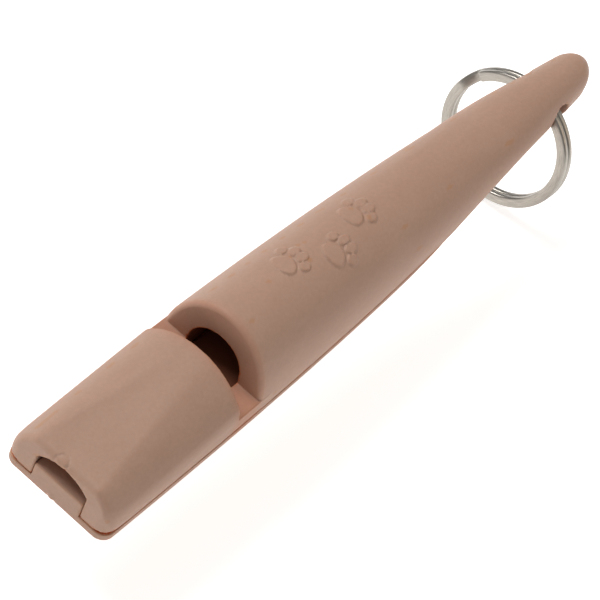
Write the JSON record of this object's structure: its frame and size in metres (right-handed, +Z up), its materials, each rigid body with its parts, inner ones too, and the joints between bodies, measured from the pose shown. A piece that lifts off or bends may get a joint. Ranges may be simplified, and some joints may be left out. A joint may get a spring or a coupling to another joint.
{
  "type": "training whistle",
  "caption": "Slim two-part moulded whistle with a flat mouthpiece, a cross-cut window and a hanging split ring through the tail.",
  "frame": {"origin": "on the flat sole, on the centre plane, straight below the sounding edge at the back of the window", "axes": "+X from the mouth to the tail, +Y to the left, +Z up from the sole"},
  "size_m": [0.082, 0.0155, 0.0212],
  "materials": {
    "shell_plastic": "fine moulded satin",
    "sole_plastic": "fine moulded satin",
    "ring_steel": "satin nickel plate"
  },
  "bodies": {
    "whistle": {"top_shell": "shell_plastic", "base_plate": "sole_plastic"},
    "ring": {"split_ring": "ring_steel"}
  },
  "joints": [
    {"name": "ring_swing", "type": "hinge", "parent": "whistle", "child": "ring", "pos_m": [0.0527, 0, 0.0028], "axis": [0, 1, 0], "range_deg": [-255, 62]}
  ]
}
